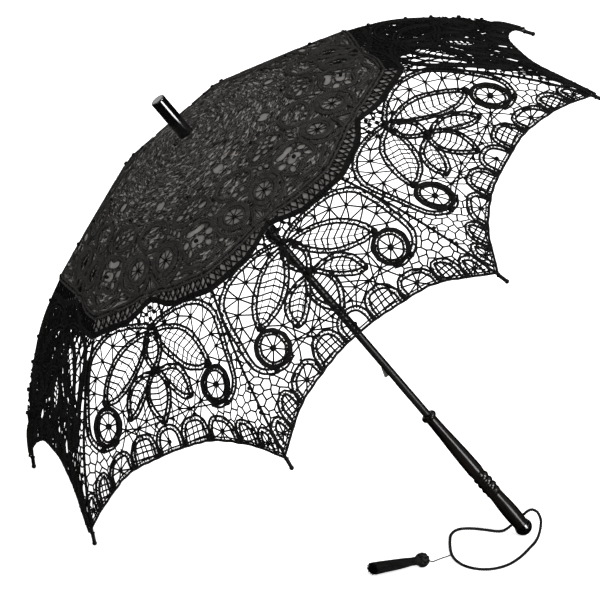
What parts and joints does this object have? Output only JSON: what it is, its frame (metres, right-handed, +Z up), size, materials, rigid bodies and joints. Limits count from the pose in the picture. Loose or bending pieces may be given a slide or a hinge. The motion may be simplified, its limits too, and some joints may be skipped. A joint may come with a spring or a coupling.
{
  "type": "lace parasol",
  "caption": "Folding lace parasol with a domed tape-lace canopy over a half lining, bowed ribs, sliding runner, turned handle and wrist cord with tassel.",
  "frame": {"origin": "on the floor, at the bottom centre of the open parasol's box without its cord and tassel", "axes": "+Z up from the floor; the XZ plane is the plane of symmetry, with the handle's end at +X and the ferrule up and towards -X; +Y is level across the canopy"},
  "size_m": [0.5596, 0.7258, 0.543],
  "materials": {
    "shaft_black": "satin",
    "black_gloss": "gloss",
    "lining_cloth": "matte",
    "frame_black": "satin",
    "bare_steel": "satin",
    "handle_lacquer": "gloss",
    "cord_black": "satin",
    "lace_black": "matte"
  },
  "bodies": {
    "shaft_and_handle": {"shaft": "shaft_black", "ferrule_cap": "black_gloss", "apex_rosette": "lace_black", "top_notch": "frame_black", "notch_wire": "bare_steel", "handle_grip": "handle_lacquer", "handle_end_cap": "black_gloss", "cord_core": "cord_black", "wrist_cord": "cord_black", "tassel_thread": "cord_black", "tassel_head": "cord_black", "tassel_skirt": "cord_black"},
    "runner": {"runner": "frame_black"},
    "lower_catch": {"lower_catch_spring": "bare_steel"},
    "upper_catch": {"upper_catch_spring": "bare_steel"},
    "rib_arm_1": {"rib_1": "frame_black", "rib_tip_1": "black_gloss", "rivet_1": "bare_steel", "canopy_1": "lace_black"},
    "rib_arm_2": {"rib_2": "frame_black", "rib_tip_2": "black_gloss", "rivet_2": "bare_steel", "canopy_2": "lace_black"},
    "rib_arm_3": {"rib_3": "frame_black", "rib_tip_3": "black_gloss", "rivet_3": "bare_steel", "canopy_3": "lace_black"},
    "rib_arm_4": {"rib_4": "frame_black", "rib_tip_4": "black_gloss", "rivet_4": "bare_steel", "canopy_4": "lace_black"},
    "rib_arm_5": {"rib_5": "frame_black", "rib_tip_5": "black_gloss", "rivet_5": "bare_steel", "canopy_5": "lace_black"},
    "rib_arm_6": {"rib_6": "frame_black", "rib_tip_6": "black_gloss", "rivet_6": "bare_steel", "canopy_6": "lace_black"},
    "rib_arm_7": {"rib_7": "frame_black", "rib_tip_7": "black_gloss", "rivet_7": "bare_steel", "canopy_7": "lace_black"},
    "rib_arm_8": {"rib_8": "frame_black", "rib_tip_8": "black_gloss", "rivet_8": "bare_steel", "canopy_8": "lace_black"},
    "stretcher_arm_1": {"stretcher_1": "frame_black"},
    "stretcher_arm_2": {"stretcher_2": "frame_black"},
    "stretcher_arm_3": {"stretcher_3": "frame_black"},
    "stretcher_arm_4": {"stretcher_4": "frame_black"},
    "stretcher_arm_5": {"stretcher_5": "frame_black"},
    "stretcher_arm_6": {"stretcher_6": "frame_black"},
    "stretcher_arm_7": {"stretcher_7": "frame_black"},
    "stretcher_arm_8": {"stretcher_8": "frame_black"}
  },
  "joints": [
    {"name": "runner_slide", "type": "slide", "parent": "shaft_and_handle", "child": "runner", "axis": [0.7263, 0, -0.6873], "range_m": [0, 0.25364], "deforming": ["canopy_1", "canopy_2", "canopy_3", "canopy_4", "canopy_5", "canopy_6", "canopy_7", "canopy_8", "lower_catch_spring", "upper_catch_spring"]},
    {"name": "rib_1_hinge", "type": "hinge", "parent": "shaft_and_handle", "child": "rib_arm_1", "pos_m": [-0.162, 0.00306, 0.42433], "axis": [-0.263, 0.9239, -0.278], "range_deg": [0, 58.35]},
    {"name": "rib_2_hinge", "type": "hinge", "parent": "shaft_and_handle", "child": "rib_arm_2", "pos_m": [-0.16497, 0.00739, 0.42118], "axis": [-0.635, 0.3827, -0.6711], "range_deg": [0, 58.35]},
    {"name": "rib_3_hinge", "type": "hinge", "parent": "shaft_and_handle", "child": "rib_arm_3", "pos_m": [-0.16918, 0.00739, 0.41674], "axis": [-0.635, -0.3827, -0.6711], "range_deg": [0, 58.35]},
    {"name": "rib_4_hinge", "type": "hinge", "parent": "shaft_and_handle", "child": "rib_arm_4", "pos_m": [-0.17216, 0.00306, 0.41359], "axis": [-0.263, -0.9239, -0.278], "range_deg": [0, 58.35]},
    {"name": "rib_5_hinge", "type": "hinge", "parent": "shaft_and_handle", "child": "rib_arm_5", "pos_m": [-0.17216, -0.00306, 0.41359], "axis": [0.263, -0.9239, 0.278], "range_deg": [0, 58.35]},
    {"name": "rib_6_hinge", "type": "hinge", "parent": "shaft_and_handle", "child": "rib_arm_6", "pos_m": [-0.16918, -0.00739, 0.41674], "axis": [0.635, -0.3827, 0.6711], "range_deg": [0, 58.35]},
    {"name": "rib_7_hinge", "type": "hinge", "parent": "shaft_and_handle", "child": "rib_arm_7", "pos_m": [-0.16497, -0.00739, 0.42118], "axis": [0.635, 0.3827, 0.6711], "range_deg": [0, 58.35]},
    {"name": "rib_8_hinge", "type": "hinge", "parent": "shaft_and_handle", "child": "rib_arm_8", "pos_m": [-0.162, -0.00306, 0.42433], "axis": [0.263, 0.9239, 0.278], "range_deg": [0, 58.35]},
    {"name": "stretcher_1_hinge", "type": "hinge", "parent": "rib_arm_1", "child": "stretcher_arm_1", "pos_m": [-0.0106, 0.0723, 0.51121], "axis": [0.263, -0.9239, 0.278], "range_deg": [0, 115]},
    {"name": "stretcher_2_hinge", "type": "hinge", "parent": "rib_arm_2", "child": "stretcher_arm_2", "pos_m": [-0.08088, 0.17455, 0.43694], "axis": [0.635, -0.3827, 0.6711], "range_deg": [0, 115]},
    {"name": "stretcher_3_hinge", "type": "hinge", "parent": "rib_arm_3", "child": "stretcher_arm_3", "pos_m": [-0.18027, 0.17455, 0.33191], "axis": [0.635, 0.3827, 0.6711], "range_deg": [0, 115]},
    {"name": "stretcher_4_hinge", "type": "hinge", "parent": "rib_arm_4", "child": "stretcher_arm_4", "pos_m": [-0.25056, 0.0723, 0.25764], "axis": [0.263, 0.9239, 0.278], "range_deg": [0, 115]},
    {"name": "stretcher_5_hinge", "type": "hinge", "parent": "rib_arm_5", "child": "stretcher_arm_5", "pos_m": [-0.25056, -0.0723, 0.25764], "axis": [-0.263, 0.9239, -0.278], "range_deg": [0, 115]},
    {"name": "stretcher_6_hinge", "type": "hinge", "parent": "rib_arm_6", "child": "stretcher_arm_6", "pos_m": [-0.18027, -0.17455, 0.33191], "axis": [-0.635, 0.3827, -0.6711], "range_deg": [0, 115]},
    {"name": "stretcher_7_hinge", "type": "hinge", "parent": "rib_arm_7", "child": "stretcher_arm_7", "pos_m": [-0.08088, -0.17455, 0.43694], "axis": [-0.635, -0.3827, -0.6711], "range_deg": [0, 115]},
    {"name": "stretcher_8_hinge", "type": "hinge", "parent": "rib_arm_8", "child": "stretcher_arm_8", "pos_m": [-0.0106, -0.0723, 0.51121], "axis": [-0.263, -0.9239, -0.278], "range_deg": [0, 115]},
    {"name": "lower_catch_press", "type": "hinge", "parent": "shaft_and_handle", "child": "lower_catch", "pos_m": [0.07233, 0, 0.1887], "axis": [0, -1, 0], "range_deg": [0, 9], "stiffness_Nm_per_rad": 0.4},
    {"name": "upper_catch_press", "type": "hinge", "parent": "shaft_and_handle", "child": "upper_catch", "pos_m": [-0.04159, 0, 0.2965], "axis": [0, 1, 0], "range_deg": [0, 9], "stiffness_Nm_per_rad": 0.4}
  ],
  "couplings": [
    {"joint": "rib_1_hinge", "follows": "runner_slide", "rad_per_m": 4.0144},
    {"joint": "rib_2_hinge", "follows": "runner_slide", "rad_per_m": 4.0144},
    {"joint": "rib_3_hinge", "follows": "runner_slide", "rad_per_m": 4.0144},
    {"joint": "rib_4_hinge", "follows": "runner_slide", "rad_per_m": 4.0144},
    {"joint": "rib_5_hinge", "follows": "runner_slide", "rad_per_m": 4.0144},
    {"joint": "rib_6_hinge", "follows": "runner_slide", "rad_per_m": 4.0144},
    {"joint": "rib_7_hinge", "follows": "runner_slide", "rad_per_m": 4.0144},
    {"joint": "rib_8_hinge", "follows": "runner_slide", "rad_per_m": 4.0144},
    {"joint": "stretcher_1_hinge", "follows": "runner_slide", "rad_per_m": 7.9124},
    {"joint": "stretcher_2_hinge", "follows": "runner_slide", "rad_per_m": 7.9124},
    {"joint": "stretcher_3_hinge", "follows": "runner_slide", "rad_per_m": 7.9124},
    {"joint": "stretcher_4_hinge", "follows": "runner_slide", "rad_per_m": 7.9124},
    {"joint": "stretcher_5_hinge", "follows": "runner_slide", "rad_per_m": 7.9124},
    {"joint": "stretcher_6_hinge", "follows": "runner_slide", "rad_per_m": 7.9124},
    {"joint": "stretcher_7_hinge", "follows": "runner_slide", "rad_per_m": 7.9124},
    {"joint": "stretcher_8_hinge", "follows": "runner_slide", "rad_per_m": 7.9124}
  ]
}
